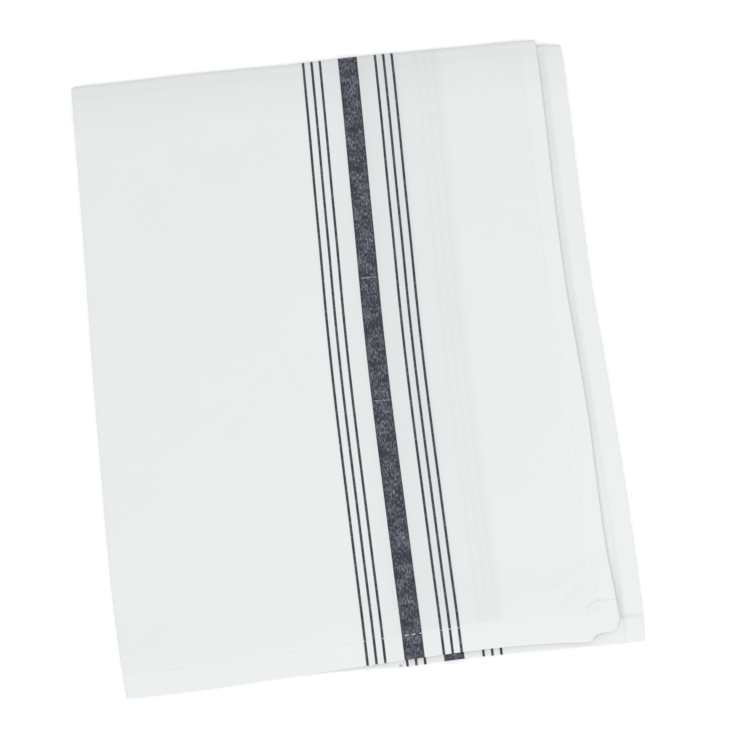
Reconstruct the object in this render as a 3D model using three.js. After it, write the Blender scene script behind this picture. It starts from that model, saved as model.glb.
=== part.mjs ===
// Folded cotton table napkin, in millimetres, +Z up, lying on a table.
//
// One hemmed cloth is folded in half lengthwise and then in half across, so that four layers
// lie on each other. The two outer layers are joined round the crosswise fold, at +Y, and
// wrap the two inner ones, which are joined round a tighter fold inside it. The lengthwise
// fold, at -X, joins the outer and the inner layer of each half. The inner layers are a
// little wider, and show as a narrow strip along +X. Hems are turned to the face of the
// cloth that ends up between an outer layer and its inner one.
import * as THREE from 'three';

const CLOTH = {
  thick: 1.0,
  air: 0.4, // between one layer and the next
  hemExtra: 0.4, // what a turned hem adds to the thickness
  rimNose: 0.3, // how far the edge of a hem rounds out
};

const HEM = {
  end: 11.5, // width of the hem across each end
  side: 9.4, // width of the hem along each side
  step: 0.6, // half the width of the step down from hem to single cloth
  rise: 12, // how far from a hem the cloth above it starts to climb
};

const FOLD = {
  acrossBulge: 1.3, // how far the outer crosswise fold reaches past a round one
  innerBulge: 0.5, // the same for the fold inside it
  innerInset: 1.6, // how much lower the inner fold lies at its free side
  alongBulge: 0.6, // how far the lengthwise fold reaches past a round one
};

// The hidden lower half was folded a little short of the upper one.
const LOWER = { shortEnd: 2.0, shortSide: 1.0 };

// Where the inner layers stand out past the outer ones they sag towards the table.
const SAG = { depth: 1.0, start: 0.9, length: 8.5 };

// The free corners are rounded: share of the cloth that turns, and how far it is cut back.
const CORNER = { share: 0.02, cut: 1.1 };

// Distances from the crosswise fold at which the ridges start and are whole.
const RIDGE_FADE = { start: 4, whole: 16 };

// Plan of the folded cloth, a row for each section across it: the lengthwise fold, the side
// hem of the outer layers and the side hem of the inner ones.
const SECTIONS = [
  { y: -143, fold: -114.9, outer: 106.3, inner: 117.6 },
  { y: -122, fold: -116.4, outer: 106.6, inner: 118.1 },
  { y: -100, fold: -117.5, outer: 106.2, inner: 118.2 },
  { y: -70, fold: -118.0, outer: 105.8, inner: 117.8 },
  { y: -40, fold: -118.1, outer: 105.4, inner: 117.0 },
  { y: -10, fold: -118.2, outer: 104.5, inner: 116.1 },
  { y: 20, fold: -118.0, outer: 103.8, inner: 114.9 },
  { y: 50, fold: -117.6, outer: 103.6, inner: 114.8 },
  { y: 80, fold: -117.3, outer: 103.5, inner: 115.1 },
  { y: 110, fold: -117.0, outer: 103.9, inner: 115.4 },
  { y: 143, fold: -117.0, outer: 103.6, inner: 115.6 },
];

// The ends of the cloth, a row for each share of the width from the lengthwise fold: the
// crest of the crosswise fold, and the end hem of the outer and of the inner layers.
const ENDS = [
  { share: 0.0, crest: 143.5, outer: -143.3, inner: -143.3 },
  { share: 0.1, crest: 143.4, outer: -143.4, inner: -142.9 },
  { share: 0.22, crest: 143.8, outer: -142.7, inner: -142.3 },
  { share: 0.36, crest: 143.7, outer: -141.5, inner: -141.6 },
  { share: 0.46, crest: 143.3, outer: -140.6, inner: -142.1 },
  { share: 0.56, crest: 143.7, outer: -140.0, inner: -143.4 },
  { share: 0.66, crest: 143.8, outer: -139.5, inner: -143.2 },
  { share: 0.78, crest: 143.4, outer: -139.2, inner: -142.3 },
  { share: 0.9, crest: 143.0, outer: -139.0, inner: -142.6 },
  { share: 1.0, crest: 142.4, outer: -138.0, inner: -143.0 },
];

// Soft ridges of the top layer: centre, direction in plan, half length, half width, height.
const RIDGES = [
  { x: 88.5, y: -112, turn: 63, long: 15, wide: 4.5, high: 0.7 }, // crease by the corner
  { x: 104, y: -2, turn: 92, long: 13, wide: 4.5, high: 0.8 }, // lifted stretch of the hem
  { x: 103, y: -132, turn: 40, long: 9, wide: 8, high: 0.6 }, // doubled corner of the hem
  { x: 20, y: 124, turn: 2, long: 70, wide: 8, high: 0.5 }, // swell behind the crest
  { x: -70, y: 122, turn: -1, long: 35, wide: 9, high: 0.6 },
  { x: -107, y: -20, turn: 90, long: 90, wide: 7, high: 0.4 }, // swell by the long fold
  { x: -35, y: 40, turn: 75, long: 60, wide: 30, high: 0.45 },
  { x: 62, y: -60, turn: 100, long: 50, wide: 22, high: 0.4 },
];

// Sizes of the cloth between its hems and folds, and how finely it is divided.
const SPAN = { outer: 222, inner: 234, half: 283 };
const GRID = { edge: 1.6, pitch: 24, lowerPitch: 34, alongFold: 6, acrossFold: 8 };

// Heights from the middle plane of the stack to the right side of the cloth in the field.
const INNER_FACE = CLOTH.air / 2;
const OUTER_FACE = 2 * CLOTH.thick + 1.5 * CLOTH.air;

/** 0 at `zero`, 1 at `one`, eased between them, whichever of the two is larger. */
function ease(zero, one, value) {
  const t = THREE.MathUtils.clamp((value - zero) / (one - zero), 0, 1);
  return t * t * (3 - 2 * t);
}

/** Reads one column of a table at a place between its rows. */
function read(table, key, column, place) {
  const found = table.findIndex((row) => row[key] >= place);
  const next = found < 0 ? table.length - 1 : Math.max(found, 1);
  const before = table[next - 1];
  const after = table[next];
  const t = THREE.MathUtils.clamp((place - before[key]) / (after[key] - before[key]), 0, 1);
  return THREE.MathUtils.lerp(before[column], after[column], t);
}

const sectionAt = (y, column) => read(SECTIONS, 'y', column, y);
const endAt = (share, column) => read(ENDS, 'share', column, share);

/** How much of a hem's thickness lifts the stack here: across the ends, and along the side. */
function lifts(x, y) {
  const fold = sectionAt(y, 'fold');
  const side = sectionAt(y, 'outer');
  const share = THREE.MathUtils.clamp((x - fold) / (side - fold), 0, 1);
  const endEdge = Math.max(endAt(share, 'outer'), endAt(share, 'inner'));
  const endLine = endEdge + HEM.end + HEM.step + LOWER.shortEnd;
  const sideLine = side - HEM.side - HEM.step - LOWER.shortSide;
  return {
    end: ease(endLine + HEM.rise, endLine, y),
    side: ease(sideLine - HEM.rise, sideLine, x),
  };
}

/** Height of the top layer's soft ridges over the pressed cloth. */
function ridgeHeight(x, y) {
  const crest = SECTIONS[SECTIONS.length - 1].y;
  const fade = ease(crest - RIDGE_FADE.start, crest - RIDGE_FADE.whole, y);
  let height = 0;
  for (const ridge of RIDGES) {
    const turn = THREE.MathUtils.degToRad(ridge.turn);
    const along = (x - ridge.x) * Math.cos(turn) + (y - ridge.y) * Math.sin(turn);
    const across = (y - ridge.y) * Math.cos(turn) - (x - ridge.x) * Math.sin(turn);
    height += ridge.high * Math.exp(-((along / ridge.long) ** 2) - (across / ridge.wide) ** 2);
  }
  return height * fade;
}

/** Height of an outer layer's right side over the middle plane. */
function outerFace(x, y, isUpper) {
  const lift = lifts(x, y);
  const pressed = OUTER_FACE + CLOTH.hemExtra * (2 * lift.end + lift.side);
  return isUpper ? pressed + ridgeHeight(x, y) : pressed;
}

/** Height of the middle plane of the stack over the table. */
function middle(x, y) {
  const from = sectionAt(y, 'outer') + SAG.start;
  return outerFace(x, y, false) - SAG.depth * ease(from, from + SAG.length, x);
}

/** The cloth's thickness, from the distances to its end hem and to its side hem. */
function thickness(fromEnd, fromSide) {
  const endHem = ease(HEM.end + HEM.step, HEM.end - HEM.step, fromEnd);
  const sideHem = ease(HEM.side + HEM.step, HEM.side - HEM.step, fromSide);
  return CLOTH.thick + CLOTH.hemExtra * (endHem + sideHem);
}

/** Distances from a free edge: its hem, the climb to the hem above it, then even steps. */
function stations(span, hem, climbStart, pitch) {
  const near = [0, GRID.edge, hem - HEM.step, hem + HEM.step];
  for (let k = 0; k <= 3; k += 1) near.push(climbStart + (k * HEM.rise) / 3);
  const last = near[near.length - 1];
  const count = Math.round((span - last) / pitch);
  for (let k = 1; k <= count; k += 1) near.push(last + ((span - last) * k) / count);
  return near;
}

/** Columns across the cloth: outer layer from its side hem, lengthwise fold, inner layer. */
function makeColumns() {
  const strip = SPAN.inner - SPAN.outer;
  const outer = stations(SPAN.outer, HEM.side, HEM.side + 2 * LOWER.shortSide, GRID.pitch);
  const inner = stations(SPAN.inner, HEM.side, strip + HEM.side + LOWER.shortSide, GRID.pitch);
  inner.splice(4, 0, strip + SAG.start, strip + HEM.side / 2);
  const columns = outer.map((distance) => ({ layer: 'outer', distance, turn: 0 }));
  for (let k = 1; k < GRID.alongFold; k += 1) {
    columns.push({ layer: 'fold', distance: Infinity, turn: (k * Math.PI) / GRID.alongFold });
  }
  inner.reverse();
  for (const distance of inner) columns.push({ layer: 'inner', distance, turn: Math.PI });
  return columns;
}

/** Rows along the cloth: upper half from its end hem, crosswise fold, lower half. */
function makeRows() {
  const climb = HEM.end + 2 * LOWER.shortEnd;
  const upper = stations(SPAN.half, HEM.end, climb, GRID.pitch);
  const lower = stations(SPAN.half, HEM.end, climb, GRID.lowerPitch);
  const rows = upper.map((distance) => ({ isUpper: true, distance, turn: 0 }));
  for (let k = 1; k < GRID.acrossFold; k += 1) {
    rows.push({ isUpper: true, distance: Infinity, turn: (k * Math.PI) / GRID.acrossFold });
  }
  lower.reverse();
  for (const distance of lower) rows.push({ isUpper: false, distance, turn: Math.PI });
  return rows;
}

/** Place of one point of the cloth, on its right side or its wrong side. */
function clothPoint(column, row, onRightSide) {
  const isInner = column.layer === 'inner';
  const edge = isInner ? 'inner' : 'outer';
  const share = Math.max(0, 1 - column.distance / SPAN[edge]);
  const along = Math.max(0, 1 - row.distance / SPAN.half);
  const innerPart = (1 - Math.cos(column.turn)) / 2;
  const lowerPart = (1 - Math.cos(row.turn)) / 2;

  const inset = FOLD.innerInset * ease(0, 1, share) * innerPart;
  const foldLine = endAt(share, 'crest') - OUTER_FACE - FOLD.acrossBulge - inset;
  const end = endAt(share, edge) + LOWER.shortEnd * lowerPart;
  const rowY = THREE.MathUtils.lerp(foldLine, end, along);

  const foldX = sectionAt(rowY, 'fold');
  const top = outerFace(foldX, rowY, row.isUpper);
  const foldRadius = (top - INNER_FACE) / 2;
  const start = foldX + foldRadius + FOLD.alongBulge;
  const hem = sectionAt(rowY, edge) - LOWER.shortSide * lowerPart;
  const planX = THREE.MathUtils.lerp(start, hem, share);
  const thick = thickness(row.distance, column.distance);

  let x = planX;
  let height = INNER_FACE + (onRightSide ? 0 : thick);
  if (column.layer === 'outer') {
    height = outerFace(planX, rowY, row.isUpper) - (onRightSide ? 0 : thick);
  } else if (column.layer === 'fold') {
    const radius = onRightSide ? foldRadius : foldRadius - thick;
    x = start - (radius + FOLD.alongBulge) * Math.sin(column.turn);
    height = INNER_FACE + foldRadius + radius * Math.cos(column.turn);
  }

  const cornerAt = 1 - CORNER.share;
  const cut = CORNER.cut * ease(cornerAt, 1, share) * ease(cornerAt, 1, along);
  const bulge = THREE.MathUtils.lerp(FOLD.acrossBulge, FOLD.innerBulge, innerPart);
  const y = rowY + (height + bulge) * Math.sin(row.turn) + cut;
  const z = middle(planX, rowY) + height * Math.cos(row.turn);
  return new THREE.Vector3(x - cut, y, z);
}

/** The sheet as one closed body: its two faces, and a rounded rim that joins them. */
function clothGeometry() {
  const columns = makeColumns();
  const rows = makeRows();
  const positions = [];
  const index = [];
  const add = (point) => positions.push(point.x, point.y, point.z) / 3 - 1;
  const layFace = (onRightSide) => columns.map(
    (column) => rows.map((row) => clothPoint(column, row, onRightSide)),
  );
  const right = layFace(true);
  const wrong = layFace(false);
  const rightIds = right.map((line) => line.map(add));
  const wrongIds = wrong.map((line) => line.map(add));
  const addQuad = (a, b, c, d) => index.push(a, b, c, a, c, d);

  const lastColumn = columns.length - 1;
  const lastRow = rows.length - 1;
  for (let i = 0; i < lastColumn; i += 1) {
    for (let j = 0; j < lastRow; j += 1) {
      addQuad(rightIds[i][j], rightIds[i][j + 1], rightIds[i + 1][j + 1], rightIds[i + 1][j]);
      addQuad(wrongIds[i][j], wrongIds[i + 1][j], wrongIds[i + 1][j + 1], wrongIds[i][j + 1]);
    }
  }

  const rim = [];
  for (let j = 0; j < lastRow; j += 1) rim.push([0, j]);
  for (let i = 0; i < lastColumn; i += 1) rim.push([i, lastRow]);
  for (let j = lastRow; j > 0; j -= 1) rim.push([lastColumn, j]);
  for (let i = lastColumn; i > 0; i -= 1) rim.push([i, 0]);
  const centre = (i, j) => right[i][j].clone().add(wrong[i][j]).multiplyScalar(0.5);
  const noseIds = rim.map(([i, j]) => {
    const inward = centre(
      THREE.MathUtils.clamp(i, 1, lastColumn - 1),
      THREE.MathUtils.clamp(j, 1, lastRow - 1),
    );
    const point = centre(i, j);
    const outward = point.clone().sub(inward).normalize();
    return add(point.addScaledVector(outward, CLOTH.rimNose));
  });
  rim.forEach(([i, j], k) => {
    const next = (k + 1) % rim.length;
    const [ni, nj] = rim[next];
    addQuad(rightIds[ni][nj], rightIds[i][j], noseIds[k], noseIds[next]);
    addQuad(noseIds[next], noseIds[k], wrongIds[i][j], wrongIds[ni][nj]);
  });

  const geometry = new THREE.BufferGeometry();
  geometry.setAttribute('position', new THREE.Float32BufferAttribute(positions, 3));
  geometry.setIndex(index);
  geometry.computeVertexNormals();
  return geometry;
}

/** Moves a body so that the middle of its base is the origin. */
function standOnOrigin(geometry) {
  geometry.computeBoundingBox();
  const { min, max } = geometry.boundingBox;
  geometry.translate(-(min.x + max.x) / 2, -(min.y + max.y) / 2, -min.z);
  return geometry;
}

const cotton = new THREE.MeshStandardMaterial({ color: '#ebeeed', roughness: 0.95, metalness: 0 });

const cloth = new THREE.Mesh(standOnOrigin(clothGeometry()), cotton);
cloth.name = 'napkin_cloth';

const napkin = new THREE.Group();
napkin.add(cloth);

export default napkin;
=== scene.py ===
"""Dresses the folded cotton napkin: thin cloth, woven stripes, hem stitching and a plain studio."""
from __future__ import annotations

import logging
import math
from dataclasses import dataclass, field
from enum import Enum
from typing import NamedTuple

import bmesh
import bpy
from mathutils import Matrix, Vector, noise

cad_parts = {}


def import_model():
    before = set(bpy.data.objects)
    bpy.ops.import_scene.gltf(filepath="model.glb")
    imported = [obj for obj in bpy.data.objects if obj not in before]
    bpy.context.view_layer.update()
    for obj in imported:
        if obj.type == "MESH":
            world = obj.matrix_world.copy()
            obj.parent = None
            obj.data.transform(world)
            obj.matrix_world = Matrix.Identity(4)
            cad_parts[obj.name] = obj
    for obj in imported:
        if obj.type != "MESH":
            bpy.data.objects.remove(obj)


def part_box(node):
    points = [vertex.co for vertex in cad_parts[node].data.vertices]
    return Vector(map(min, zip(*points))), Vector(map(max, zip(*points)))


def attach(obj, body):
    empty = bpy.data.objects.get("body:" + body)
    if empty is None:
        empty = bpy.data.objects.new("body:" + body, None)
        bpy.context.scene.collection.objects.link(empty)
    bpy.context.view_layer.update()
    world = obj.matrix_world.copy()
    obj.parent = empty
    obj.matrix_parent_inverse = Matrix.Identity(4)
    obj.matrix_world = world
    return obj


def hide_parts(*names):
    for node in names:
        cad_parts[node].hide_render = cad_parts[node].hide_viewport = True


log = logging.getLogger("napkin")

MM = 0.001
NODE = "napkin_cloth"


class Layer(Enum):
    """Where a column of the cloth lies across the lengthwise fold."""

    OUTER = "outer"
    FOLD = "fold"
    INNER = "inner"


class Side(Enum):
    """The two faces of the cloth: the right side shows on the outer layers."""

    RIGHT = 0.0
    WRONG = 1.0


class Section(NamedTuple):
    """One section across the folded cloth, in mm: the folds, hems and stripe bands at y."""

    y: float
    fold: float
    outer: float
    inner: float
    band: float
    under_band: float


class End(NamedTuple):
    """The ends of the cloth at a share of its width from the lengthwise fold, in mm."""

    share: float
    crest: float
    outer: float
    inner: float


class Ridge(NamedTuple):
    """A soft ridge, or a trough where high is negative: place, turn in degrees, sizes in mm."""

    x: float
    y: float
    turn: float
    long: float
    wide: float
    high: float


class Column(NamedTuple):
    """A line of points along the cloth: its layer, distance from the side hem, fold angle."""

    layer: Layer
    distance: float
    turn: float


class Row(NamedTuple):
    """A line of points across the cloth: its half, distance from the end hem, fold angle."""

    is_upper: bool
    distance: float
    turn: float


SECTIONS = (
    Section(-143, -114.6, 107.2, 117.6, 14.5, 32.1),
    Section(-122, -116.1, 106.4, 118.1, 14.3, 32.0),
    Section(-100, -117.2, 105.2, 118.2, 13.9, 31.7),
    Section(-70, -117.7, 104.9, 117.8, 13.4, 31.4),
    Section(-40, -117.7, 105.1, 117.0, 12.9, 31.1),
    Section(-10, -117.8, 104.0, 116.1, 12.6, 31.0),
    Section(20, -117.6, 102.8, 114.9, 12.7, 31.2),
    Section(50, -117.2, 102.6, 114.8, 13.2, 31.9),
    Section(80, -117.0, 103.0, 115.1, 13.6, 32.5),
    Section(110, -116.9, 103.5, 115.4, 14.1, 33.1),
    Section(143, -116.9, 103.7, 115.6, 14.5, 33.7),
)

ENDS = (
    End(0.0, 143.5, -143.1, -143.1),
    End(0.1, 143.4, -143.1, -142.7),
    End(0.22, 143.8, -142.4, -142.1),
    End(0.36, 143.7, -141.0, -141.4),
    End(0.46, 143.3, -140.2, -141.9),
    End(0.56, 143.7, -139.5, -142.4),
    End(0.64, 143.8, -138.9, -141.7),
    End(0.72, 143.6, -138.6, -141.8),
    End(0.8, 143.4, -138.8, -142.3),
    End(0.88, 143.1, -139.5, -142.6),
    End(0.936, 142.8, -140.3, -142.8),
    End(0.95, 142.7, -137.7, -142.9),
    End(0.967, 142.6, -137.0, -142.9),
    End(0.984, 142.5, -137.0, -143.0),
    End(1.0, 142.4, -137.2, -143.2),
)

RIDGES = (
    Ridge(86.2, -118.2, 41, 8.5, 2.2, -0.6),
    Ridge(83.2, -115.0, 41, 9.5, 2.8, 0.45),
    Ridge(91.0, -106.5, 84, 9, 2.2, -0.4),
    Ridge(104, -2, 92, 13, 4.5, 0.5),
    Ridge(97.6, -129.6, 74, 4.6, 0.9, 0.3),
    Ridge(-92, 121, 4, 24, 9, -0.25),
    Ridge(-107, -20, 90, 90, 7, 0.3),
    Ridge(-35, 40, 75, 60, 30, 0.45),
    Ridge(62, -60, 100, 50, 22, 0.4),
    Ridge(88, 1.5, 3, 14, 3.0, -0.35),
)


def ease(zero: float, one: float, value: float) -> float:
    """Eases from 0 to 1 between two values.

    Args:
        zero: where the result is 0.
        one: where the result is 1; it may be the smaller of the two.
        value: the place that is asked for.

    Returns:
        A share from 0 to 1 with level ends.
    """
    share = min(1.0, max(0.0, (value - zero) / (one - zero)))
    return share * share * (3 - 2 * share)


def mix(first: float, second: float, share: float) -> float:
    """Returns the value a share of the way from the first to the second."""
    return first + (second - first) * share


def read(table: tuple, column: str, place: float) -> float:
    """Reads a column of a table along a smooth curve through its rows.

    Args:
        table: rows that rise in their first column.
        column: the name of the column that is read.
        place: where it is read, in the first column.

    Returns:
        The column's value there, held level past both ends.
    """
    place = min(max(place, table[0][0]), table[-1][0])
    after = next((n for n, row in enumerate(table) if row[0] >= place), 0)
    after = max(after, 1)
    rows = [table[min(max(n, 0), len(table) - 1)] for n in range(after - 2, after + 2)]
    p0, p1, p2, p3 = (getattr(row, column) for row in rows)
    x0, x1, x2, x3 = (row[0] for row in rows)
    t = (place - x1) / (x2 - x1)
    m1 = (p2 - p0) / (x2 - x0) * (x2 - x1)
    m2 = (p3 - p1) / (x3 - x1) * (x2 - x1)
    value = (2 * t**3 - 3 * t**2 + 1) * p1 + (t**3 - 2 * t**2 + t) * m1
    return value + (3 * t**2 - 2 * t**3) * p2 + (t**3 - t**2) * m2


def graded(*stretches: tuple[float, float]) -> list[float]:
    """Places stations at pitches that change from stretch to stretch.

    Args:
        stretches: pairs of where a stretch ends and the pitch in it, in mm.

    Returns:
        The stations from 0 to the end of the last stretch.
    """
    stations = [0.0]
    for end, pitch in stretches:
        start = stations[-1]
        count = max(1, round((end - start) / pitch))
        stations += [start + (end - start) * n / count for n in range(1, count + 1)]
    return stations


@dataclass(frozen=True)
class FoldedForm:
    """The folded cloth's form, in mm: where each point of the flat cloth lies."""

    # The thin cloth and its turned hems
    cloth: float = 0.5
    hem_extra: float = 0.62
    end_hem: float = 11.5
    side_hem: float = 8.9
    hem_step: float = 0.9
    rim_nose: float = 0.45
    # The stack of four layers that the cloth keeps to
    stack_cloth: float = 1.0
    stack_air: float = 0.4
    stack_hem: float = 0.32
    stack_step: float = 0.6
    hem_rise: float = 26.0
    # The spans from the side and end hems to the folds
    outer_span: float = 222.0
    inner_span: float = 234.0
    half_span: float = 283.0
    short_end: float = 2.0
    short_side: float = 1.0
    # The folds' round edges
    across_bulge: float = 1.3
    inner_bulge: float = 0.5
    inner_inset: float = 1.6
    along_bulge: float = 0.6
    crest_arc: float = 5.0
    crest_drop: float = 0.8
    crest_reach: float = 9.0
    crest_ease: float = 2.0
    # The top layer's free side: its lip, and the cloth below that lifts towards it and sags past it
    hem_lip: float = 0.25
    lip_wide: float = 2.4
    lip_flat: float = 0.3
    strip_lift: float = 0.65
    strip_rise: float = 12.0
    strip_top: float = 1.0
    sag_depth: float = 1.0
    sag_start: float = 2.0
    sag_length: float = 8.5
    # The rounded corners, and the doubled corner that stands up
    corner_share: float = 0.02
    corner_cut: float = 1.4
    inner_cut: float = 0.3
    patch_side: float = 12.8
    patch_end: float = 14.0
    patch_high: float = 0.4
    patch_step: float = 0.4
    # The seams' sunk line and the puckers beside it
    stitch_inset: float = 1.0
    stitch_groove: float = 0.02
    groove_wide: float = 0.6
    pucker_pitch: float = 6.5
    pucker_high: float = 0.05
    pucker_reach: float = 4.5
    pucker_wander: float = 6.6
    pucker_drift: float = 17.0
    seam_reach: float = 99.0
    # The pressed cloth's slow swells, and how far the crosswise fold stays clear of ridges
    swell_high: float = 0.22
    swell_size: float = 38.0
    crest_bare: float = 4.0
    crest_full: float = 16.0

    @property
    def inner_face(self) -> float:
        """Height of an inner layer's right side over the middle plane."""
        return self.stack_air / 2

    @property
    def outer_face(self) -> float:
        """Height of an outer layer's right side over the middle plane, away from hems."""
        return 2 * self.stack_cloth + 1.5 * self.stack_air

    def lifts(self, x: float, y: float) -> tuple[float, float]:
        """Finds how far the hems below lift the stack.

        Args:
            x: place across the cloth.
            y: place along it.

        Returns:
            The shares of the end hems' and of the side hem's thickness that lift it here.
        """
        fold = read(SECTIONS, "fold", y)
        side = read(SECTIONS, "outer", y)
        share = min(1.0, max(0.0, (x - fold) / (side - fold)))
        edge = max(read(ENDS, "outer", share), read(ENDS, "inner", share))
        end_line = edge + self.end_hem + self.stack_step + self.short_end
        side_line = side - self.side_hem - self.stack_step - self.short_side
        return (
            ease(end_line + self.hem_rise, end_line, y),
            ease(side_line - self.hem_rise, side_line, x),
        )

    def ridges(self, x: float, y: float) -> float:
        """Adds up the top layer's soft ridges, troughs and slow swells.

        Args:
            x: place across the cloth.
            y: place along it.

        Returns:
            Their height over the pressed cloth.
        """
        crest = SECTIONS[-1].y
        height = 0.0
        for ridge in RIDGES:
            turn = math.radians(ridge.turn)
            along = (x - ridge.x) * math.cos(turn) + (y - ridge.y) * math.sin(turn)
            across = (y - ridge.y) * math.cos(turn) - (x - ridge.x) * math.sin(turn)
            height += ridge.high * math.exp(-((along / ridge.long) ** 2) - (across / ridge.wide) ** 2)
        swell = noise.noise(Vector((x, y, 0.0)) / self.swell_size)
        height += self.swell_high * (0.5 + swell)
        return height * ease(crest - self.crest_bare, crest - self.crest_full, y)

    def crest_fall(self, y: float) -> float:
        """Slopes the top layer down towards the crosswise fold.

        Args:
            y: place along the cloth.

        Returns:
            How far it has come down there.
        """
        roll = SECTIONS[-1].y - self.outer_face - self.across_bulge + self.crest_drop / 2
        into = y - roll + self.crest_reach
        return self.crest_drop / self.crest_reach * (into + math.hypot(into, self.crest_ease)) / 2

    def outer_height(self, x: float, y: float, lower_part: float) -> float:
        """Finds the height of an outer layer's right side over the middle plane.

        Args:
            x: place across the cloth.
            y: place along it.
            lower_part: 0 on the upper half of the cloth, 1 on the lower, between them in the roll.

        Returns:
            The height.
        """
        end_lift, side_lift = self.lifts(x, y)
        pressed = self.outer_face + self.stack_hem * (2 * end_lift + side_lift)
        if lower_part == 1:
            return pressed
        return pressed + (1 - lower_part) * (self.ridges(x, y) - self.crest_fall(y))

    def middle(self, x: float, y: float) -> float:
        """Finds where the stack's middle plane lies, lower past the top layer's side hem.

        Args:
            x: place across the cloth.
            y: place along it.

        Returns:
            Its height over the table.
        """
        start = read(SECTIONS, "outer", y) + self.sag_start
        sag = self.sag_depth * ease(start, start + self.sag_length, x)
        return self.outer_height(x, y, 1) - sag

    def thickness(self, from_end: float, from_side: float) -> float:
        """Finds how thick the cloth is, with the hems that are turned there.

        Args:
            from_end: distance from the end hem's edge.
            from_side: distance from the side hem's edge.

        Returns:
            The thickness.
        """
        step = self.hem_step
        end_hem = ease(self.end_hem + step, self.end_hem - step, from_end)
        side_hem = ease(self.side_hem + step, self.side_hem - step, from_side)
        return self.cloth + self.hem_extra * (end_hem + side_hem)

    def sewn_relief(self, from_end: float, from_side: float, u: float, v: float) -> float:
        """Finds how the hem stitching draws the cloth in.

        Args:
            from_end: distance from the end hem's edge.
            from_side: distance from the side hem's edge.
            u: place across the flat cloth.
            v: place along the flat cloth.

        Returns:
            The height of the puckers and of the sunk stitch line, from the face outwards.
        """
        relief = 0.0
        for distance, hem, along in ((from_end, self.end_hem, u), (from_side, self.side_hem, v)):
            line = hem - self.stitch_inset
            relief -= self.stitch_groove * math.exp(-(((distance - line) / self.groove_wide) ** 2))
            wander = self.pucker_wander * noise.noise(Vector((along / self.pucker_drift, hem, 3.0)))
            wave = math.sin(2 * math.pi * along / self.pucker_pitch + wander)
            reach = math.exp(-(((distance - line) / self.pucker_reach) ** 2))
            relief += self.pucker_high * wave * reach
        return relief

    def raised(self, from_end: float, from_side: float) -> float:
        """Raises an outer layer's side edge and its doubled corner.

        Args:
            from_end: distance from the end hem's edge.
            from_side: distance from the side hem's edge.

        Returns:
            How far they stand up.
        """
        lip = self.hem_lip * ease(self.lip_wide, self.lip_flat, from_side)
        patch = ease(self.patch_side + self.patch_step, self.patch_side - self.patch_step, from_side)
        patch *= ease(self.patch_end + self.patch_step, self.patch_end - self.patch_step, from_end)
        return lip + self.patch_high * patch

    def flat(self, column: Column, row: Row, x: float, y: float) -> tuple[float, float]:
        """Finds a point's place on the flat cloth.

        Args:
            column: the point's column.
            row: the point's row.
            x: its place across the folded cloth.
            y: its place along the folded cloth.

        Returns:
            Its distances across and along from where the two folds cross.
        """
        band = read(SECTIONS, "band", y)
        under = read(SECTIONS, "under_band", y)
        outer_u = StripeBands.outer_centre - (x - band)
        inner_u = StripeBands.inner_centre + (x - under)
        if column.layer is Layer.FOLD:
            u = mix(outer_u, inner_u, column.turn / math.pi)
        else:
            u = outer_u if column.layer is Layer.OUTER else inner_u
        reach = self.half_span - row.distance
        if 0 < row.turn < math.pi:
            v = self.crest_arc * (1 - 2 * row.turn / math.pi)
        else:
            v = mix(self.crest_arc, self.half_span, reach / self.half_span)
            v = v if row.is_upper else -v
        return u, v

    def place(self, column: Column, row: Row, side: float) -> tuple[Vector, Vector, Vector]:
        """Folds one point of the cloth.

        Args:
            column: the point's column.
            row: the point's row.
            side: 0 on the right side, 1 on the wrong side, between them inside the cloth.

        Returns:
            Its place in mm, its place on the flat cloth with its side, and its place over
            the stripe band of the layer below with how much painted show-through shade falls there.
        """
        is_inner = column.layer is Layer.INNER
        edge = "inner" if is_inner else "outer"
        span = self.inner_span if is_inner else self.outer_span
        share = 0.0 if column.layer is Layer.FOLD else 1 - column.distance / span
        along = 0.0 if 0 < row.turn < math.pi else 1 - row.distance / self.half_span
        inner_part = (1 - math.cos(column.turn)) / 2
        lower_part = (1 - math.cos(row.turn)) / 2

        inset = self.inner_inset * ease(0, 1, share) * inner_part
        fold_line = read(ENDS, "crest", share) - self.outer_face - self.across_bulge - inset
        fold_line += self.crest_drop / 2
        end = read(ENDS, edge, share) + self.short_end * lower_part
        row_y = mix(fold_line, end, along)

        fold_x = read(SECTIONS, "fold", row_y)
        top = self.outer_height(fold_x, row_y, lower_part)
        radius = (top - self.inner_face) / 2
        start = fold_x + radius + self.along_bulge
        hem = read(SECTIONS, edge, row_y) - self.short_side * lower_part
        plan_x = mix(start, hem, share)
        from_end = math.inf if along == 0 else row.distance
        from_side = math.inf if share == 0 else column.distance
        thick = self.thickness(from_end, from_side)
        u, v = self.flat(column, row, plan_x, row_y)
        far = self.seam_reach
        relief = self.sewn_relief(min(from_end, far), min(from_side, far), u, v) * (1 - 2 * side)

        x = plan_x
        edge_x = read(SECTIONS, "outer", row_y)
        lift = self.strip_lift * ease(edge_x - self.strip_rise, edge_x - self.strip_top, plan_x)
        lift *= 1 - lower_part
        height = self.inner_face + lift + thick * side - relief
        if column.layer is Layer.OUTER:
            height = self.outer_height(plan_x, row_y, lower_part) - thick * side + relief
            height += self.raised(from_end, from_side) * (1 - side) * (1 - lower_part)
        elif column.layer is Layer.FOLD:
            arc = radius - thick * side
            x = start - (arc + self.along_bulge) * math.sin(column.turn)
            height = self.inner_face + radius + arc * math.cos(column.turn)

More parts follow.
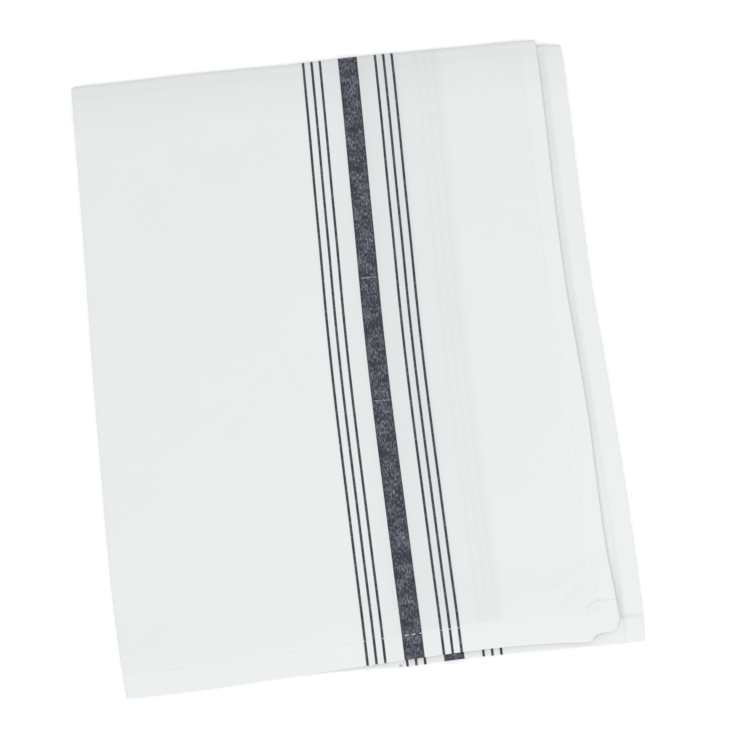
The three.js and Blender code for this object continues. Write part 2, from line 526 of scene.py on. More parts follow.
        corner = 1 - self.corner_share
        cut = self.corner_cut * ease(corner, 1, share) * ease(corner, 1, along)
        cut *= mix(1.0, self.inner_cut, inner_part)
        bulge = mix(self.across_bulge, self.inner_bulge, inner_part)
        y = row_y + (height + bulge) * math.sin(row.turn) + cut
        z = self.middle(plan_x, row_y) + height * math.cos(row.turn)
        # Where the band below lies and how much painted show-through shade the top layer gets here
        under = read(SECTIONS, "under_band", row_y)
        shows = ease(self.cloth + self.hem_extra, self.cloth, thick)
        shows *= (1 - side) * (1 - lower_part) * (1 - inner_part)
        return Vector((x - cut, y, z)), Vector((u, v, side)), Vector((plan_x - under, shows, 0))

    def rim(self, columns: list[Column], rows: list[Row], i: int, j: int, side: float) -> Vector:
        """Finds how far the rounded edge of a hem stands out.

        Args:
            columns: every column of the cloth.
            rows: every row of the cloth.
            i: the point's column number.
            j: the point's row number.
            side: its share of the way through the cloth.

        Returns:
            The step outwards, nothing away from the edges.
        """
        within = (min(max(i, 1), len(columns) - 2), min(max(j, 1), len(rows) - 2))
        if within == (i, j) or side in (0.0, 1.0):
            return Vector((0, 0, 0))
        here = self.place(columns[i], rows[j], 0.5)[0]
        inner = self.place(columns[within[0]], rows[within[1]], 0.5)[0]
        return (here - inner).normalized() * self.rim_nose * math.sin(math.pi * side)


class StripeBands:
    """The two woven stripe bands on the flat cloth, in mm from its lengthwise fold."""

    outer_centre = -131.0
    inner_centre = 149.5
    wide_half = 4.55
    core_half = 3.65
    core_soft = 0.7
    thin_half = 0.6
    thin_at = (13.15, 17.1, 21.1)
    edge_soft = 0.12
    ground_half = 22.6
    ground_soft = 0.6


class Darkening(NamedTuple):
    """A darkening of the white cloth, for painted shade and for a grey mark: its reach and half its soft
    edge in mm, and its strength.
    """

    reach: float
    soft: float
    share: float


def linear(colour: str) -> tuple[float, float, float, float]:
    """Turns an sRGB hex colour into the linear values that a shader takes."""
    parts = [int(colour[n:n + 2], 16) / 255 for n in (1, 3, 5)]
    parts = [p / 12.92 if p <= 0.04045 else ((p + 0.055) / 1.055) ** 2.4 for p in parts]
    return (*parts, 1.0)


def add(tree: bpy.types.NodeTree, kind: str, inputs: dict, out: str | int = 0, **settings) -> object:
    """Adds a node with its settings and links.

    Args:
        tree: the node tree that it joins.
        kind: the node's type.
        inputs: each input's name or number, with a value or the socket that feeds it.
        out: the name or number of the output that is wanted.
        settings: the node's own properties.

    Returns:
        The wanted output socket.
    """
    node = tree.nodes.new(kind)
    for name, value in settings.items():
        setattr(node, name, value)
    for name, value in inputs.items():
        if isinstance(value, bpy.types.NodeSocket):
            tree.links.new(value, node.inputs[name])
        else:
            node.inputs[name].default_value = value
    return node.outputs[out]


@dataclass(frozen=True)
class WovenCotton:
    """Bleached plain-woven cotton with stripes of dyed warp: matt, soft, slightly nubbly.

    Lengths are in mm. A shade is a share of the way from the white to the dark end colour, which
    the painted shade and the cloth's tone and grey mark all use.
    """

    name: str = "plain_woven_cotton"
    roughness: float = 0.92
    specular: float = 0.2
    sheen: float = 0.12
    sheen_roughness: float = 0.5
    white: str = "#D7D9D8"
    # The dark end of the painted shade, and of the cloth's tone and grey mark
    shade_and_tone_end: str = "#000027"
    dyed: str = "#33333B"
    fleck: str = "#9F9FAB"
    # The weave and the thicker stretches of its weft
    thread_pitch: float = 0.62  # real threads are nearer 0.45 mm; this coarse they still show
    weave_depth: float = 0.05
    weave_bump: float = 0.55
    slub_pitch: float = 1.3
    slub_long: float = 45.0
    slub_range: tuple[float, float] = (0.62, 0.8)  # of the noise, from no slub to a full one
    slub_bump: float = 1.6  # of the weave's height
    # The dyed warp and the white weft that shows in it
    ragged: float = 0.35  # how far the stripes' edges wander
    heather: tuple[float, float] = (1.6, 0.7)  # along and across the uneven dyeing
    dye_clouds: float = 0.17  # slow changes to the mm
    dye_cloud_share: float = 0.45
    dye_range: tuple[float, float] = (0.6, 1.0)  # of the noise, from the least weft to the most
    weft_shown: tuple[float, float] = (-0.1, 0.52)
    weft_gaps: tuple[float, float] = (0.55, 1.45)  # on a warp thread, and between two
    edge_weft: float = 0.5  # of the weft in the wide stripes' middles
    # Two thick pale weft threads, broken where the dyed warp covers them
    pale_picks: tuple[float, float] = (109.2, 166.8)
    pick_half: float = 0.3
    pick_soft: float = 0.2
    pick_slope: float = 0.05
    pick_range: tuple[float, float] = (0.35, 0.6)  # of the noise, from covered to bare
    pick_shown: tuple[float, float] = (0.15, 0.7)
    # What darkens the white: painted shade where the band below shows through, near the crosswise fold
    # and where no hem doubles the cloth; and its tone, slubs and a grey mark
    # Painted shade: the dark stripe band of the layer below showing through the thin cloth
    painted_band_shade: Darkening = Darkening(24.5, 2.5, 0.03)
    painted_wide_stripe_shade: Darkening = Darkening(4.55, 1.8, 0.034)
    painted_thin_stripe_shade: Darkening = Darkening(1.1, 1.1, 0.02)
    # Painted shade that darkens the cloth towards the crosswise fold
    painted_crest_shade: tuple[Darkening, ...] = (Darkening(9.5, 2.0, 0.022), Darkening(24.0, 5.0, 0.024))
    mark: Darkening = Darkening(0.7, 0.4, 0.45)  # a small grey mark at an end hem
    mark_place: tuple[float, float] = (125.4, 282.9)
    ground_shade: float = 0.03  # between the stripes of a band
    # Painted shade: one layer of cloth is darker than where a hem doubles it
    painted_single_layer_shade: float = 0.014  # where the cloth isn't doubled by a hem
    single_soft: float = 0.3
    cloudy: float = 0.035  # changes to the mm
    cloudy_shade: float = 0.02
    slub_shade: float = -0.012

    def build(self) -> bpy.types.Material:
        """Makes the cotton's material from the cloth's own flat coordinates.

        Returns:
            The finished material.
        """
        material = bpy.data.materials.new(self.name)
        material.use_nodes = True
        tree = material.node_tree
        shader = tree.nodes["Principled BSDF"]
        shader.inputs["Roughness"].default_value = self.roughness
        shader.inputs["Specular IOR Level"].default_value = self.specular
        shader.inputs["Sheen Weight"].default_value = self.sheen
        shader.inputs["Sheen Roughness"].default_value = self.sheen_roughness
        u, v, place = self.thread_places(tree)
        wide, core, thin, ground = self.stripes(tree, u, v)
        stripe = add(tree, "ShaderNodeMath", {0: wide, 1: thin}, operation="MAXIMUM")
        weave = self.weave(tree, u, v)
        slub = self.slubs(tree, place)
        dyed = self.dyed_yarn(tree, weave, core, place)
        white = self.white_yarn_and_painted_shade(tree, ground, slub, u, v, place)
        colour = add(tree, "ShaderNodeMix", {0: stripe, 6: white, 7: dyed}, 2, data_type="RGBA")
        tree.links.new(colour, shader.inputs["Base Color"])
        height = add(
            tree, "ShaderNodeMath", {0: slub, 1: self.slub_bump, 2: weave}, operation="MULTIPLY_ADD",
        )
        bump = add(
            tree, "ShaderNodeBump",
            {"Height": height, "Strength": self.weave_bump, "Distance": self.weave_depth * MM},
        )
        tree.links.new(bump, shader.inputs["Normal"])
        return material

    def thread_places(self, tree: bpy.types.NodeTree) -> tuple[object, object, object]:
        """Reads where each point lies on the flat cloth.

        Args:
            tree: the material's node tree.

        Returns:
            Its places across and along the cloth in mm, and both as a vector.
        """
        flat = add(tree, "ShaderNodeUVMap", {}, uv_map="flat")
        place = add(tree, "ShaderNodeVectorMath", {0: flat, "Scale": 1 / MM}, operation="SCALE")
        u = add(tree, "ShaderNodeSeparateXYZ", {0: place}, "X")
        v = add(tree, "ShaderNodeSeparateXYZ", {0: place}, "Y")
        return u, v, place

    def within(self, tree: bpy.types.NodeTree, distance: object, half: float, soft: float) -> object:
        """Masks where a distance is under a limit.

        Args:
            tree: the material's node tree.
            distance: the distance, in mm.
            half: the limit, in mm.
            soft: half the width of its soft edge, in mm.

        Returns:
            A mask that is 1 inside the limit.
        """
        return add(
            tree, "ShaderNodeMapRange",
            {"Value": distance, 1: half - soft, 2: half + soft, 3: 1.0, 4: 0.0},
            interpolation_type="SMOOTHSTEP",
        )

    def apart(self, tree: bpy.types.NodeTree, value: object, centre: float) -> object:
        """Returns how far a value lies from a centre, on either side."""
        offset = add(tree, "ShaderNodeMath", {0: value, 1: centre}, operation="SUBTRACT")
        return add(tree, "ShaderNodeMath", {0: offset}, operation="ABSOLUTE")

    def stripes(self, tree: bpy.types.NodeTree, u: object, v: object) -> tuple[object, ...]:
        """Lays out the dyed stripes.

        Args:
            tree: the material's node tree.
            u: place across the flat cloth, in mm.
            v: place along it, in mm.

        Returns:
            Masks of the wide stripes, of their lighter middles, of the thin stripes and of
            the bands that they stand in.
        """
        bands = StripeBands
        middle = (bands.outer_centre + bands.inner_centre) / 2
        reach = (bands.inner_centre - bands.outer_centre) / 2
        thread = add(
            tree, "ShaderNodeMath", {0: v, 1: 1 / self.thread_pitch}, operation="MULTIPLY",
        )
        wander = add(tree, "ShaderNodeTexNoise", {"W": thread}, noise_dimensions="1D")
        ragged = add(
            tree, "ShaderNodeMath", {0: wander, 1: self.ragged, 2: u}, operation="MULTIPLY_ADD",
        )
        folded = self.apart(tree, ragged, middle + self.ragged / 2)
        across = self.apart(tree, folded, reach)
        wide = self.within(tree, across, bands.wide_half, bands.edge_soft)
        core = self.within(tree, across, bands.core_half, bands.core_soft)
        ground = self.within(tree, across, bands.ground_half, bands.ground_soft)
        thin = 0.0
        for centre in bands.thin_at:
            away = self.apart(tree, across, centre)
            line = self.within(tree, away, bands.thin_half, bands.edge_soft)
            thin = add(tree, "ShaderNodeMath", {0: line, 1: thin}, operation="MAXIMUM")
        return wide, core, thin, ground

    def weave(self, tree: bpy.types.NodeTree, u: object, v: object) -> object:
        """Makes the plain weave, high where a warp thread passes over a weft thread.

        Args:
            tree: the material's node tree.
            u: place across the flat cloth, in mm.
            v: place along it, in mm.

        Returns:
            The weave from 0, weft over warp, to 1, warp over weft.
        """
        turn = math.pi / self.thread_pitch
        waves = []
        for place in (u, v):
            angle = add(tree, "ShaderNodeMath", {0: place, 1: turn}, operation="MULTIPLY")
            waves.append(add(tree, "ShaderNodeMath", {0: angle}, operation="SINE"))
        product = add(tree, "ShaderNodeMath", {0: waves[0], 1: waves[1]}, operation="MULTIPLY")
        return add(
            tree, "ShaderNodeMath", {0: product, 1: 0.5, 2: 0.5}, operation="MULTIPLY_ADD",
        )

    def slubs(self, tree: bpy.types.NodeTree, place: object) -> object:
        """Makes the thicker stretches of weft yarn, thin lines that run across the cloth.

        Args:
            tree: the material's node tree.
            place: the place on the flat cloth, in mm.

        Returns:
            A mask of the slubs.
        """
        stretched = add(
            tree, "ShaderNodeVectorMath",
            {0: place, 1: (1 / self.slub_long, 1 / self.slub_pitch, 0.0)}, operation="MULTIPLY",
        )
        lines = add(tree, "ShaderNodeTexNoise", {"Vector": stretched, "Scale": 1.0, "Detail": 1.0})
        low, high = self.slub_range
        return add(tree, "ShaderNodeMapRange", {"Value": lines, 1: low, 2: high})

    def dyed_yarn(
        self, tree: bpy.types.NodeTree, weave: object, core: object, place: object,
    ) -> object:
        """Colours the dyed warp with the white weft that shows between its threads.

        Args:
            tree: the material's node tree.
            weave: the plain weave.
            core: the mask of the wide stripes' middles.
            place: the place on the flat cloth, in mm.

        Returns:
            The colour of the dyed stripes.
        """
        along, across = self.heather
        blotches = add(
            tree, "ShaderNodeMapping", {"Vector": place, "Scale": (1 / across, 1 / along, 1.0)},
        )
        fine = add(tree, "ShaderNodeTexNoise", {"Vector": blotches, "Scale": 1.0, "Detail": 2.0})
        clouds = add(
            tree, "ShaderNodeTexNoise", {"Vector": place, "Scale": self.dye_clouds, "Detail": 1.0},
        )
        uneven = add(
            tree, "ShaderNodeMath", {0: clouds, 1: self.dye_cloud_share, 2: fine},
            operation="MULTIPLY_ADD",
        )
        shown = self.stretched(tree, uneven, self.dye_range, self.weft_shown)
        gaps = self.stretched(tree, weave, (1.0, 0.0), self.weft_gaps)
        body = self.stretched(tree, core, (0.0, 1.0), (self.edge_weft, 1.0))
        weft = add(tree, "ShaderNodeMath", {0: gaps, 1: shown}, operation="MULTIPLY")
        weft = add(tree, "ShaderNodeMath", {0: weft, 1: body}, operation="MULTIPLY")
        bare = self.stretched(tree, fine, self.pick_range, self.pick_shown)
        bare = add(tree, "ShaderNodeMath", {0: bare, 1: core}, operation="MULTIPLY")
        level = add(
            tree, "ShaderNodeVectorMath", {0: place, 1: (self.pick_slope, 1.0, 0.0)}, "Value",
            operation="DOT_PRODUCT",
        )
        for pick in self.pale_picks:
            away = self.apart(tree, level, pick + self.pick_slope * StripeBands.outer_centre)
            pale = self.within(tree, away, self.pick_half, self.pick_soft)
            pale = add(tree, "ShaderNodeMath", {0: pale, 1: bare}, operation="MULTIPLY")
            weft = add(tree, "ShaderNodeMath", {0: pale, 1: weft}, operation="MAXIMUM")
        weft = add(tree, "ShaderNodeMath", {0: weft, 1: 0.0}, operation="MAXIMUM", use_clamp=True)
        return add(
            tree, "ShaderNodeMix", {0: weft, 6: linear(self.dyed), 7: linear(self.fleck)}, 2,
            data_type="RGBA",
        )

    def stretched(
        self, tree: bpy.types.NodeTree, value: object, span: tuple[float, float],
        result: tuple[float, float],
    ) -> object:
        """Returns a value moved from one span of numbers to another, held at both ends."""
        ends = {1: span[0], 2: span[1], 3: result[0], 4: result[1]}
        return add(tree, "ShaderNodeMapRange", {"Value": value, **ends})

    def painted_show_through_shade(self, tree: bpy.types.NodeTree) -> object:
        """Paints shade on the cloth where the stripe band of the layer below would show through it.

        Args:
            tree: the material's node tree.

        Returns:
            The painted shade.
        """
        below = add(tree, "ShaderNodeUVMap", {}, uv_map="below")
        shows = add(tree, "ShaderNodeSeparateXYZ", {0: below}, "Y")
        beside = add(tree, "ShaderNodeSeparateXYZ", {0: below}, "X")
        beside = add(tree, "ShaderNodeMath", {0: beside, 1: 1 / MM}, operation="MULTIPLY")
        beside = add(tree, "ShaderNodeMath", {0: beside}, operation="ABSOLUTE")
        painted_show_through_parts = [(beside, self.painted_band_shade), (beside, self.painted_wide_stripe_shade)]
        painted_show_through_parts += [(self.apart(tree, beside, centre), self.painted_thin_stripe_shade) for centre in StripeBands.thin_at]
        shade = 0.0
        for distance, darkening in painted_show_through_parts:
            mask = self.within(tree, distance, darkening.reach, darkening.soft)
            shade = add(
                tree, "ShaderNodeMath", {0: mask, 1: darkening.share, 2: shade}, operation="MULTIPLY_ADD",
            )
        return add(tree, "ShaderNodeMath", {0: shade, 1: shows}, operation="MULTIPLY")

    def white_yarn_and_painted_shade(
        self, tree: bpy.types.NodeTree, ground: object, slub: object, u: object, v: object,
        place: object,
    ) -> object:
        """Colours the bleached cotton: painted shade where the layer below shows through, near the fold
        and where no hem doubles it, with its tone, slubs and grey mark.

        Args:
            tree: the material's node tree.
            ground: the mask of the stripe bands.
            slub: the mask of the slubs.
            u: place across the flat cloth, in mm.
            v: place along it, in mm.
            place: both of them as a vector.

        Returns:
            The colour of the white cloth.
        """
        form = FoldedForm()
        across = self.apart(tree, u, (form.inner_span - form.outer_span) / 2)
        along = self.apart(tree, v, 0.0)
        half = (form.inner_span + form.outer_span) / 2
        # Painted shade where no hem doubles the cloth
        clear_side = self.within(tree, across, half - form.side_hem, self.single_soft)
        clear_end = self.within(tree, along, form.half_span - form.end_hem, self.single_soft)
        painted_single_layer_mask = add(tree, "ShaderNodeMath", {0: clear_side, 1: clear_end}, operation="MULTIPLY")
        cloudy = add(tree, "ShaderNodeTexNoise", {"Vector": place, "Scale": self.cloudy, "Detail": 3.0})
        away = add(
            tree, "ShaderNodeVectorMath", {0: place, 1: (*self.mark_place, 0.0)}, "Value",
            operation="DISTANCE",
        )
        masks = [(ground, self.ground_shade), (painted_single_layer_mask, self.painted_single_layer_shade)]
        # Painted shade near the crosswise fold
        masks += [(self.within(tree, along, darkening.reach, darkening.soft), darkening.share) for darkening in self.painted_crest_shade]
        masks += [(cloudy, self.cloudy_shade), (slub, self.slub_shade)]
        masks.append((self.within(tree, away, self.mark.reach, self.mark.soft), self.mark.share))
        # Starts from the painted show-through shade; the masks add more painted shade and the cloth's
        # tone
        shade = self.painted_show_through_shade(tree)
        for mask, share in masks:
            shade = add(
                tree, "ShaderNodeMath", {0: mask, 1: share, 2: shade}, operation="MULTIPLY_ADD",
            )
        return add(
            tree, "ShaderNodeMix", {0: shade, 6: linear(self.white), 7: linear(self.shade_and_tone_end)}, 2,
            data_type="RGBA",
        )


@dataclass(frozen=True)
class SewingThread:
    """Spun cotton sewing thread: matt, twisted, a shade whiter than the cloth."""

    name: str = "sewing_thread"
    colour: str = "#DBDDDC"
    shade: str = "#CDCFCE"
    twist: float = 0.35  # mm from one turn of the ply to the next
    twist_uneven: float = 1.5
    twist_depth: float = 0.05
    twist_bump: float = 0.4
    roughness: float = 0.8
    specular: float = 0.3

    def build(self) -> bpy.types.Material:
        """Makes the thread's material.

        Returns:
            The finished material.
        """
        material = bpy.data.materials.new(self.name)
        material.use_nodes = True
        tree = material.node_tree
        shader = tree.nodes["Principled BSDF"]
        shader.inputs["Roughness"].default_value = self.roughness
        shader.inputs["Specular IOR Level"].default_value = self.specular
        place = add(tree, "ShaderNodeTexCoord", {}, "Object")
        turns = 1 / (self.twist * MM) / (2 * math.pi)
        ply = add(
            tree, "ShaderNodeTexWave",
            {"Vector": place, "Scale": turns, "Distortion": self.twist_uneven},
            "Fac", bands_direction="DIAGONAL",
        )
        colour = add(
            tree, "ShaderNodeMix", {0: ply, 6: linear(self.colour), 7: linear(self.shade)}, 2,
            data_type="RGBA",
        )
        tree.links.new(colour, shader.inputs["Base Color"])
        bump = add(
            tree, "ShaderNodeBump",
            {"Height": ply, "Strength": self.twist_bump, "Distance": self.twist_depth * MM},
        )
        tree.links.new(bump, shader.inputs["Normal"])
        return material


@dataclass(frozen=True)
class StudioPaper:
    """Plain white studio paper: matt, with the faintest grain."""

    name: str = "studio_paper"
    colour: str = "#FBFBFB"
    grain: float = 0.4  # mm
    grain_depth: float = 0.02
    grain_bump: float = 0.1
    roughness: float = 0.95
    specular: float = 0.1

    def build(self) -> bpy.types.Material:
        """Makes the floor's material.

        Returns:
            The finished material.
        """
        material = bpy.data.materials.new(self.name)
        material.use_nodes = True
        tree = material.node_tree
        shader = tree.nodes["Principled BSDF"]
        shader.inputs["Base Color"].default_value = linear(self.colour)
        shader.inputs["Roughness"].default_value = self.roughness
        shader.inputs["Specular IOR Level"].default_value = self.specular
        place = add(tree, "ShaderNodeTexCoord", {}, "Object")
        grain = add(tree, "ShaderNodeTexNoise", {"Vector": place, "Scale": 1 / (self.grain * MM)})
        bump = add(
            tree, "ShaderNodeBump",
            {"Height": grain, "Strength": self.grain_bump, "Distance": self.grain_depth * MM},
        )
        tree.links.new(bump, shader.inputs["Normal"])
        return material


def finished_object(bm: bmesh.types.BMesh, name: str, material: bpy.types.Material) -> bpy.types.Object:
    """Turns a bmesh into a smooth-shaded object.

    Args:
        bm: the bmesh, which is freed.
        name: the object's name.
        material: its one material.

    Returns:
        The object, linked to the scene at the origin.
    """
    mesh = bpy.data.meshes.new(name)
    bm.to_mesh(mesh)
    bm.free()
    mesh.materials.append(material)
    mesh.shade_smooth()
    thing = bpy.data.objects.new(name, mesh)
    bpy.context.scene.collection.objects.link(thing)
    log.info("%s: %d faces", name, len(mesh.polygons))
    return thing


@dataclass
class NapkinCloth:
    """The napkin's one cloth, folded in quarters, with its hems turned to the wrong side."""

    form: FoldedForm
    finish: WovenCotton
    fold_steps: int = 14
    crest_steps: int = 20
    shift: Vector = field(default_factory=Vector)

    def columns(self) -> list[Column]:
        """Places the columns, close at the rim, the seam, the doubled corner and the folds.

        Returns:
            The columns from the outer side hem round the lengthwise fold to the inner one.
        """
        outer = graded(
            (1.2, 0.3), (2.7, 0.5), (11.9, 1.3), (13.7, 0.36), (60, 1.6), (205, 3.2),
            (self.form.outer_span, 1.5),
        )
        inner = graded(
            (1.2, 0.3), (7.2, 1.2), (10.4, 0.4), (16, 1.4), (35, 3), (self.form.inner_span, 9),
        )
        turns = [math.pi * n / self.fold_steps for n in range(1, self.fold_steps)]
        return (
            [Column(Layer.OUTER, distance, 0.0) for distance in outer]
            + [Column(Layer.FOLD, self.form.outer_span, turn) for turn in turns]
            + [Column(Layer.INNER, distance, math.pi) for distance in reversed(inner)]
        )

    def rows(self) -> list[Row]:
        """Places the rows, close at the rim, the seam, the doubled corner and the crest.

        Returns:
            The rows from the upper end hem round the crosswise fold to the lower end hem.
        """
        upper = graded(
            (1.2, 0.3), (9.3, 1.35), (12.9, 0.6), (15, 0.36), (60, 1.6), (262, 3.2),
            (self.form.half_span, 1.5),
        )
        lower = graded((1.2, 0.4), (9.3, 2.0), (12.5, 0.64), (self.form.half_span, 9))
        turns = [math.pi * n / self.crest_steps for n in range(1, self.crest_steps)]
        return (
            [Row(True, distance, 0.0) for distance in upper]
            + [Row(True, self.form.half_span, turn) for turn in turns]
            + [Row(False, distance, math.pi) for distance in reversed(lower)]
        )

    def flat_slab(self, columns: int, rows: int) -> bmesh.types.BMesh:
        """Makes the unfolded cloth as a slab whose points stand on whole numbers.

        Args:
            columns: how many points lie across it.
            rows: how many points lie along it.

        Returns:
            The slab, one high, with two rings of points round its rim.
        """
        bm = bmesh.new()
        bmesh.ops.create_grid(bm, x_segments=columns - 1, y_segments=rows - 1, size=1.0)
        half = Vector(((columns - 1) / 2, (rows - 1) / 2, 0))
        bmesh.ops.scale(bm, vec=(half.x, half.y, 1), verts=bm.verts[:])
        bmesh.ops.translate(bm, vec=half, verts=bm.verts[:])
        raised = bmesh.ops.extrude_face_region(bm, geom=bm.faces[:])["geom"]
        raised = [part for part in raised if isinstance(part, bmesh.types.BMVert)]
        bmesh.ops.translate(bm, vec=(0, 0, 1), verts=raised)
        walls = [edge for edge in bm.edges if abs(edge.verts[0].co.z - edge.verts[1].co.z) > 0.5]
        bmesh.ops.subdivide_edges(bm, edges=walls, cuts=2)
        bmesh.ops.recalc_face_normals(bm, faces=bm.faces[:])
        return bm

    def build(self) -> bpy.types.Object:
        """Folds the slab and dresses it.

        Returns:
            The cloth.
        """
        columns = self.columns()
        rows = self.rows()
        bm = self.flat_slab(len(columns), len(rows))
        flat_map = bm.loops.layers.uv.new("flat")
        # UVs that place the painted shade where the stripe band below would show through the cloth
        show_through_shade_map = bm.loops.layers.uv.new("below")
        flat = {}
        below = {}
        for point in bm.verts:
            i, j, side = round(point.co.x), round(point.co.y), point.co.z
            folded, flat[point], below[point] = self.form.place(columns[i], rows[j], side)
            point.co = (folded + self.form.rim(columns, rows, i, j, side)) * MM
        for face in bm.faces:
            for loop in face.loops:
                loop[flat_map].uv = flat[loop.vert].xy * MM
                loop[show_through_shade_map].uv = (below[loop.vert].x * MM, below[loop.vert].y)
        low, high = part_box(NODE)
        places = [point.co for point in bm.verts]
        for axis in (0, 1):
            extent = [place[axis] for place in places]
            self.shift[axis] = (low[axis] + high[axis] - min(extent) - max(extent)) / 2
        bmesh.ops.translate(bm, vec=self.shift, verts=bm.verts[:])
        cloth = finished_object(bm, "napkin", self.finish.build())
        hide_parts(NODE)
        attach(cloth, "root")
        return cloth


@dataclass
class HemStitching:
    """Lock stitches that hold the turned hems, on both faces of the cloth."""

    form: FoldedForm
    finish: SewingThread
    length: float = 2.7
    gap: float = 0.55
    width: float = 0.34
    high: float = 0.11
    start: float = 1.5
    sample: float = 2.0
    crest_samples: int = 12
    fold_samples: int = 8
    lean: float = 0.09
    lean_drift: float = 3.0
    face_apart: float = 7.0

    def side_seam(self, layer: Layer) -> list[tuple[Column, Row]]:
        """Follows one side hem's seam, round the crosswise fold and back below.

        Args:
            layer: the layer that the side hem is on.

        Returns:
            The column and row of each point of the seam.
        """
        distance = self.form.side_hem - self.form.stitch_inset
        column = Column(layer, distance, 0.0 if layer is Layer.OUTER else math.pi)
        span = self.form.half_span
        reach = graded((span, self.sample))[1:]
        turns = [math.pi * n / self.crest_samples for n in range(1, self.crest_samples)]
        rows = [Row(True, place, 0.0) for place in reach]
        rows += [Row(True, span, turn) for turn in turns]
        rows += [Row(False, place, math.pi) for place in reversed(reach)]
        return [(column, row) for row in rows]

    def end_seam(self, is_upper: bool) -> list[tuple[Column, Row]]:
        """Follows one end hem's seam, round the lengthwise fold.

        Args:
            is_upper: whether the seam is on the upper half of the cloth.

        Returns:
            The column and row of each point of the seam.
        """
        distance = self.form.end_hem - self.form.stitch_inset
        row = Row(is_upper, distance, 0.0 if is_upper else math.pi)
        outer = graded((self.form.outer_span, self.sample))[1:]
        inner = graded((self.form.inner_span, self.sample))[1:]
        turns = [math.pi * n / self.fold_samples for n in range(1, self.fold_samples)]
        columns = [Column(Layer.OUTER, place, 0.0) for place in outer]
        columns += [Column(Layer.FOLD, self.form.outer_span, turn) for turn in turns]
        columns += [Column(Layer.INNER, place, math.pi) for place in reversed(inner)]
        return [(column, row) for column in columns]

    def stitch(self) -> bpy.types.Mesh:
        """Makes one stitch, a flattened bead of thread along X, in mm.

        Returns:
            The stitch's mesh.
        """
        bm = bmesh.new()
        bmesh.ops.create_uvsphere(bm, u_segments=6, v_segments=5, radius=0.5)
        bmesh.ops.scale(bm, vec=(self.length, self.width, self.high), verts=bm.verts[:])
        mesh = bpy.data.meshes.new("stitch")
        bm.to_mesh(mesh)
        bm.free()
        return mesh

    def sew(
        self, bm: bmesh.types.BMesh, pattern: bpy.types.Mesh, seam: list[tuple[Column, Row]],
        side: Side,
    ) -> None:
        """Lays stitches of even length along a seam.

        Args:
            bm: the bmesh that the stitches join.
            pattern: one stitch.
            seam: points along the seam.
            side: the face of the cloth that they lie on.
        """
        track = [self.form.place(column, row, side.value)[0] for column, row in seam]
        back = [self.form.place(column, row, 1 - side.value)[0] for column, row in seam]
        run = [0.0]
        for here, there in zip(track, track[1:]):
            run.append(run[-1] + (there - here).length)

        def along(points: list[Vector], place: float) -> Vector:
            """Returns the point at a distance along the seam."""
            after = next((n for n, done in enumerate(run) if done >= place), len(run) - 1)
            after = max(after, 1)
            share = (place - run[after - 1]) / max(run[after] - run[after - 1], 1e-6)
            return points[after - 1].lerp(points[after], share)

        place = self.start
        while place + self.length < run[-1] - self.start:
            first = along(track, place)
            last = along(track, place + self.length)
            middle = along(track, place + self.length / 2)
            forward = (last - first).normalized()
            outward = middle - along(back, place + self.length / 2)
            outward = (outward - outward.project(forward)).normalized()
            sideways = outward.cross(forward)
            drift = Vector((place / self.lean_drift, side.value * self.face_apart, first.z))
            forward = (forward + sideways * self.lean * noise.noise(drift)).normalized()
            sideways = outward.cross(forward)
            turn = Matrix((forward, sideways, outward)).transposed().to_4x4()
            stitch = pattern.copy()
            stitch.transform(Matrix.Translation(middle) @ turn)
            bm.from_mesh(stitch)
            bpy.data.meshes.remove(stitch)
            place += self.length + self.gap

    def build(self, shift: Vector) -> bpy.types.Object:
        """Sews the four hems.

        Args:
            shift: the step that the cloth was moved by.

        Returns:
            The stitching, one joined mesh.
        """
        bm = bmesh.new()
        pattern = self.stitch()
        seams = [self.side_seam(layer) for layer in (Layer.OUTER, Layer.INNER)]
        seams += [self.end_seam(is_upper) for is_upper in (True, False)]
        for seam in seams:
            for side in Side:
                self.sew(bm, pattern, seam, side)
        bpy.data.meshes.remove(pattern)
        bmesh.ops.scale(bm, vec=(MM, MM, MM), verts=bm.verts[:])
        bmesh.ops.translate(bm, vec=shift, verts=bm.verts[:])
        stitching = finished_object(bm, "hem_stitching", self.finish.build())
        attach(stitching, "root")
        return stitching


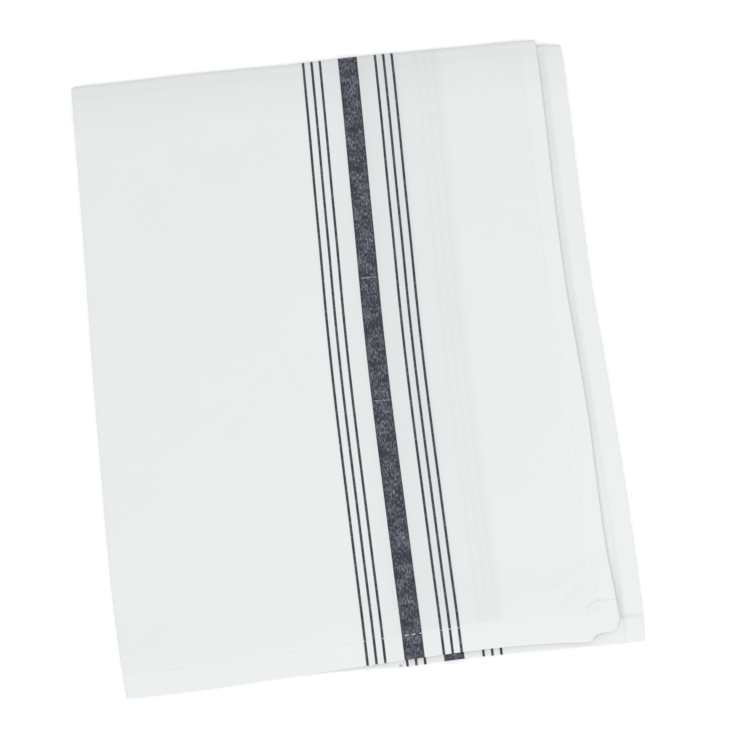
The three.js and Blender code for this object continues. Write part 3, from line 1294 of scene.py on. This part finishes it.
@dataclass
class Studio:
    """White paper, a large soft light and the camera, at the photograph's angle."""

    paper: StudioPaper
    image: int = 750
    focal_pixels: float = 1713.0
    sensor: float = 36.0
    distance: float = 789.8
    tilt: float = 10.0
    turn: float = 6.27
    aim: tuple[float, float] = (10.6, -9.55)
    paper_size: float = 3.0

    def build(self) -> None:
        """Lays the paper, hangs the lights and sets the camera."""
        self.build_camera()
        self.build_paper()
        self.build_lights()

    def build_camera(self) -> None:
        """Sets the camera above the napkin, a little towards its free ends."""
        data = bpy.data.cameras.new("camera")
        data.sensor_width = self.sensor
        data.lens = self.focal_pixels * self.sensor / self.image
        data.clip_start = 0.05
        camera = bpy.data.objects.new("camera", data)
        turn = Matrix.Rotation(-math.radians(self.turn), 4, "Z")
        tilt = Matrix.Rotation(math.radians(self.tilt), 4, "X")
        aim = Matrix.Translation(Vector((*self.aim, 0)) * MM)
        back = Matrix.Translation((0, 0, self.distance * MM))
        camera.matrix_world = aim @ turn @ tilt @ back
        bpy.context.scene.collection.objects.link(camera)
        bpy.context.scene.camera = camera

    def build_paper(self) -> None:
        """Lays the white paper that the napkin lies on."""
        bm = bmesh.new()
        bmesh.ops.create_grid(bm, x_segments=4, y_segments=4, size=self.paper_size / 2)
        finished_object(bm, "paper", self.paper.build())

    def build_lights(self) -> None:
        """Hangs a large soft light on the near left and a weak one on the right, in a white room."""
        self.hang("soft_light", Vector((-1.2, -1.8, 2.3)), size=2.7, power=23.0)
        self.hang("fill_light", Vector((0.55, -0.45, 0.75)), size=0.7, power=1.8)
        world = bpy.data.worlds.new("studio")
        world.use_nodes = True
        world.node_tree.nodes["Background"].inputs["Strength"].default_value = 1.0
        world.node_tree.nodes["Background"].inputs["Color"].default_value = linear("#FDFEFF")
        bpy.context.scene.world = world
        bpy.context.scene.view_settings.view_transform = "Standard"

    def hang(self, name: str, place: Vector, size: float, power: float) -> None:
        """Hangs a round light that faces the napkin.

        Args:
            name: the light's name.
            place: where it hangs, in metres.
            size: its width, in metres.
            power: its strength, in watts.
        """
        data = bpy.data.lights.new(name, "AREA")
        data.shape = "DISK"
        data.size = size
        data.energy = power
        lamp = bpy.data.objects.new(name, data)
        lamp.location = place
        lamp.rotation_euler = (-place).to_track_quat("-Z", "Y").to_euler()
        bpy.context.scene.collection.objects.link(lamp)


def main() -> None:
    """Loads the frame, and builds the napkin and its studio."""
    logging.basicConfig(level=logging.INFO, format="%(name)s: %(message)s")
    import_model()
    bpy.context.view_layer.update()
    Studio(StudioPaper()).build()
    form = FoldedForm()
    cloth = NapkinCloth(form, WovenCotton())
    napkin = cloth.build()
    stitching = HemStitching(form, SewingThread()).build(cloth.shift)
    bpy.context.view_layer.update()


if __name__ == "__main__":
    main()
